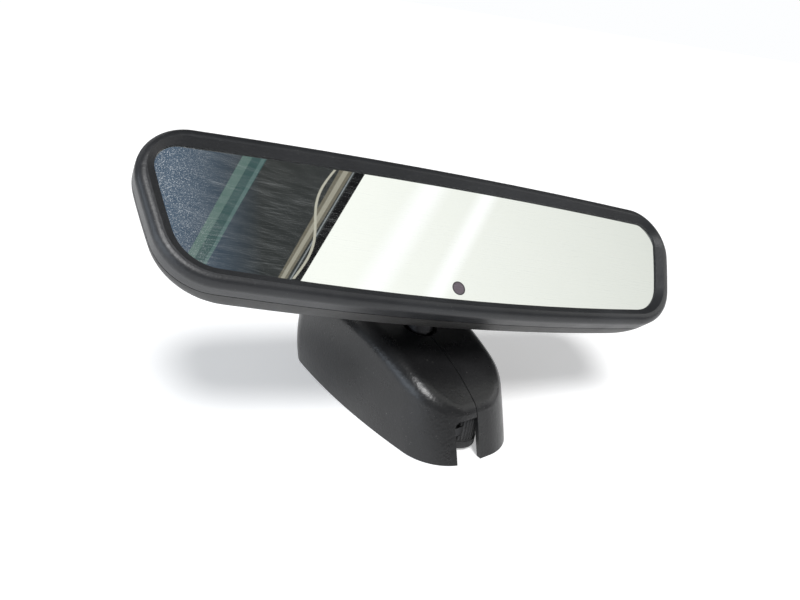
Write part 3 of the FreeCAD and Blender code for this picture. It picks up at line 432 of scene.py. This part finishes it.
def make_floor():
    """Plain pale floor under the rim of the foot, lifted a little by its own glow."""
    corners = [(-FLOOR_HALF, -FLOOR_HALF, 0), (FLOOR_HALF, -FLOOR_HALF, 0),
               (FLOOR_HALF, FLOOR_HALF, 0), (-FLOOR_HALF, FLOOR_HALF, 0)]
    mesh = bpy.data.meshes.new("floor")
    mesh.from_pydata(corners, [], [(0, 1, 2, 3)])
    floor = bpy.data.objects.new("floor", mesh)
    floor.location.z = cad_box[0].z - FLOOR_GAP
    SCENE.collection.objects.link(floor)
    finish = Finish("pale_floor", Specular_IOR_Level=0.2, Emission_Strength=0.36)
    finish.shader.inputs["Emission Color"].default_value = (1.0, 1.0, 1.0, 1)
    shade = finish.noise(400.0, 2.0)
    finish.drive("Base Color", finish.mix(shade, (0.87, 0.87, 0.87), (0.90, 0.90, 0.90)))
    finish.tune("Roughness", 0.8, (shade, 0.05))
    mesh.materials.append(finish.material)


WORLD_LIGHT = 0.14              # strength of the surroundings on the object
WORLD_SEEN = 1.0                # and as a backdrop


def make_world():
    """Dim, even surroundings that show as a white backdrop."""
    world = bpy.data.worlds.new("studio")
    world.use_nodes = True
    tree = world.node_tree
    background = tree.nodes["Background"]
    background.inputs["Color"].default_value = (0.98, 0.99, 1.0, 1)
    seen = tree.nodes.new("ShaderNodeLightPath").outputs["Is Camera Ray"]
    strength = tree.nodes.new("ShaderNodeMapRange")
    strength.inputs["To Min"].default_value = WORLD_LIGHT
    strength.inputs["To Max"].default_value = WORLD_SEEN
    tree.links.new(seen, strength.inputs["Value"])
    tree.links.new(strength.outputs["Result"], background.inputs["Strength"])
    SCENE.world = world


def make_softbox(name, place, aim, width, height, power, tint=(1, 1, 1)):
    """Large area light at a place, turned to a point."""
    data = bpy.data.lights.new(name, "AREA")
    data.shape = "RECTANGLE"
    data.size = width
    data.size_y = height
    data.energy = power
    data.color = tint
    lamp = bpy.data.objects.new(name, data)
    lamp.location = place
    lamp.rotation_mode = "QUATERNION"
    lamp.rotation_quaternion = (Vector(aim) - Vector(place)).to_track_quat("-Z", "Y")
    lamp.visible_camera = False
    SCENE.collection.objects.link(lamp)


def make_lights():
    """A soft key from above and in front, a cool lamp from the left, weak ones right and behind."""
    data = bpy.data.lights.new("key_light", "SUN")
    data.energy = KEY_ENERGY
    data.angle = math.radians(KEY_SPREAD)
    key = bpy.data.objects.new("key_light", data)
    key.rotation_mode = "QUATERNION"
    key.rotation_quaternion = KEY_FROM.to_track_quat("Z", "Y")
    SCENE.collection.objects.link(key)
    make_softbox("side_light", (-0.75, -0.05, 0.30), (0, 0, 0.05), 0.7, 0.4, 2.6, (0.78, 0.88, 1.0))
    make_softbox("fill_light", (0.8, -0.4, 0.35), (0, 0, 0.05), 0.6, 0.4, 1.0)
    make_softbox("back_light", (-0.3, 0.9, 0.7), (0, 0, 0.08), 0.9, 0.4, 0.9)


def card_point(along_mm, up_mm, height):
    """Place of a card's point that shows at a spot of the glass in the photograph's view."""
    local = HEAD.transposed() @ (CAMERA_PLACE - GLASS_CENTRE)
    eye = Vector((local.x, -local.y, local.z))
    spot = Vector((along_mm, 0, up_mm)) * MM
    reach = (eye.y + height) / eye.y
    return GLASS_CENTRE + HEAD @ (eye + (spot - eye) * reach)


def make_card(name, outline_mm, material, lift_mm=0.0):
    """Card that only the glass and other glossy surfaces see."""
    points = [card_point(along, up, CARD_HEIGHT - lift_mm * MM) for along, up in outline_mm]
    mesh = bpy.data.meshes.new(name)
    mesh.from_pydata(points, [], [tuple(range(len(points)))])
    mesh.materials.append(material)
    card = bpy.data.objects.new(name, mesh)
    card.visible_camera = False
    card.visible_diffuse = False
    card.visible_shadow = False
    SCENE.collection.objects.link(card)


def glow(name, colour, strength=1.0):
    """Even light of one colour for a card."""
    material = bpy.data.materials.new(name)
    material.use_nodes = True
    tree = material.node_tree
    tree.nodes.clear()
    lamp = tree.nodes.new("ShaderNodeEmission")
    lamp.inputs["Color"].default_value = (*colour, 1)
    lamp.inputs["Strength"].default_value = strength
    out = tree.nodes.new("ShaderNodeOutputMaterial")
    tree.links.new(lamp.outputs[0], out.inputs[0])
    return material


def shaded_glow(name, paint):
    """Light whose colour is painted by a function of the card's own places."""
    finish = Finish(name)
    lamp = finish.add("ShaderNodeEmission", {"Color": paint(finish), "Strength": 1.0})
    out = finish.tree.nodes["Material Output"]
    finish.tree.links.new(lamp.outputs[0], out.inputs[0])
    return finish.material


EDGE_TOP, EDGE_LOW = -37.5, -66.0        # dark and bright halves of the reflection meet here, mm
CARD_UP = 24.0                           # half height of the glass, mm
CARD_OVER = 60.0                         # cards reach this far above and below the middle, mm
CARD_FAR = 190.0                         # and this far to each side, mm


def edge_at(up_mm, top=EDGE_TOP, low=EDGE_LOW):
    """Place along the glass of a slanted line, given its places at the top and bottom."""
    return low + (top - low) * (up_mm + CARD_UP) / (2 * CARD_UP)


def slanted_strip(name, top, low, width_top, width_low, material, lift_mm):
    """Slanted strip across the reflection, from the places of its left edge and its widths."""
    right_top, right_low = top + width_top, low + width_low
    outline = [(edge_at(-CARD_OVER, top, low), -CARD_OVER),
               (edge_at(-CARD_OVER, right_top, right_low), -CARD_OVER),
               (edge_at(CARD_OVER, right_top, right_low), CARD_OVER),
               (edge_at(CARD_OVER, top, low), CARD_OVER)]
    make_card(name, outline, material, lift_mm)


def card_middle():
    """Middle of the cards, and how many metres on them show as 1 mm on the glass."""
    middle = card_point(0, 0, CARD_HEIGHT)
    return middle, (card_point(1, 0, CARD_HEIGHT) - middle).length


STREAK_SLANT = 0.66                      # how far the streaks lean, along for each mm up
STREAKS = ((-22.0, 7.0), (5.5, 5.0))     # middle and half width of each streak, mm


def paint_bright(finish):
    """Nearly white to the left, greyer to the right, with two soft bright streaks."""
    middle, scale = card_middle()
    along = finish.maths("DIVIDE", finish.measure(ALONG, middle), scale)
    upright = finish.maths("DIVIDE", finish.measure(UPWARD, middle), scale)
    slant = finish.maths("SUBTRACT", along, finish.maths("MULTIPLY", upright, STREAK_SLANT))
    base = finish.mix(finish.span(along, -50, 115), (1.04, 1.05, 1.0), (0.79, 0.80, 0.76))
    for centre, half in STREAKS:
        away = finish.maths("ABSOLUTE", finish.maths("SUBTRACT", slant, centre))
        streak = finish.add("ShaderNodeMapRange", {
            "Value": away, "From Min": half * 1.5, "From Max": 0.0}, interpolation_type="SMOOTHSTEP")
        base = finish.mix(streak.outputs["Result"], base, (1.12, 1.12, 1.12))
    return base


def paint_dark(finish):
    """Cold grey at the left end, neutral and darker to the right."""
    middle, scale = card_middle()
    along = finish.maths("DIVIDE", finish.measure(ALONG, middle), scale)
    cloud = finish.noise(180.0, 3.0)
    near = finish.mix(cloud, (0.045, 0.075, 0.120), (0.115, 0.165, 0.235))
    far = finish.mix(cloud, (0.022, 0.026, 0.028), (0.050, 0.052, 0.050))
    return finish.mix(finish.span(along, -112, -80), near, far)


def make_reflections():
    """Cards that stand where the glass looks: a bright half, a dark half and a few strips."""
    low, high = (edge_at(-CARD_OVER), -CARD_OVER), (edge_at(CARD_OVER), CARD_OVER)
    make_card("bright_card", [low, (CARD_FAR, -CARD_OVER), (CARD_FAR, CARD_OVER), high],
              shaded_glow("bright_glow", paint_bright))
    make_card("dark_card", [(-CARD_FAR, -CARD_OVER), low, high, (-CARD_FAR, CARD_OVER)],
              shaded_glow("dark_glow", paint_dark))
    slanted_strip("black_strip", -41.5, -68.8, 4.0, 2.8, glow("black_glow", (0.008, 0.008, 0.009)), 2)
    slanted_strip("thin_strip", -42.6, -70.2, 0.6, 0.5, glow("thin_glow", (0.26, 0.28, 0.29)), 3)
    slanted_strip("pipe_strip", -48.3, -74.6, 5.4, 3.4, glow("pipe_glow", (0.17, 0.155, 0.12)), 3)
    slanted_strip("pipe_light", -46.6, -73.6, 2.2, 1.4, glow("pipe_light_glow", (0.36, 0.34, 0.28)), 4)
    slanted_strip("teal_strip", -84.0, -106.0, 7.0, 5.0, glow("teal_glow", (0.050, 0.095, 0.095)), 2)
    slanted_strip("green_strip", -86.0, -108.0, 3.6, 2.9, glow("green_glow", (0.11, 0.175, 0.16)), 3)
    slanted_strip("pale_strip", -79.0, -101.6, 1.5, 1.1, glow("pale_glow", (0.10, 0.165, 0.16)), 3)
    make_loose_lead()


LEAD_STEPS = 24
LEAD_HALF = 0.5                          # half width of the line, mm
LEAD_WAVE = 2.6                          # how far it swings to each side, mm


def make_loose_lead():
    """Thin pale line that winds across the wide pale strip in one shallow wave."""
    middle = []
    for step in range(LEAD_STEPS + 1):
        down = step / LEAD_STEPS
        up = CARD_UP * (1 - 2 * down)
        wave = LEAD_WAVE * math.sin(2 * math.pi * down)
        middle.append((edge_at(up, -50.0, -69.0) - wave, up))
    outline = [(off - LEAD_HALF, up) for off, up in middle]
    outline += [(off + LEAD_HALF, up) for off, up in middle[::-1]]
    make_card("loose_lead", outline, glow("lead_glow", (0.52, 0.50, 0.42)), 6)


def set_view():
    """Plain colour response, so that white stays white."""
    SCENE.view_settings.view_transform = "Standard"
    SCENE.view_settings.look = "None"


# ------------------------------------------------------------ build

make_camera()
dress_nodes(make_finishes())
make_floor()
make_world()
make_lights()
make_reflections()
set_view()
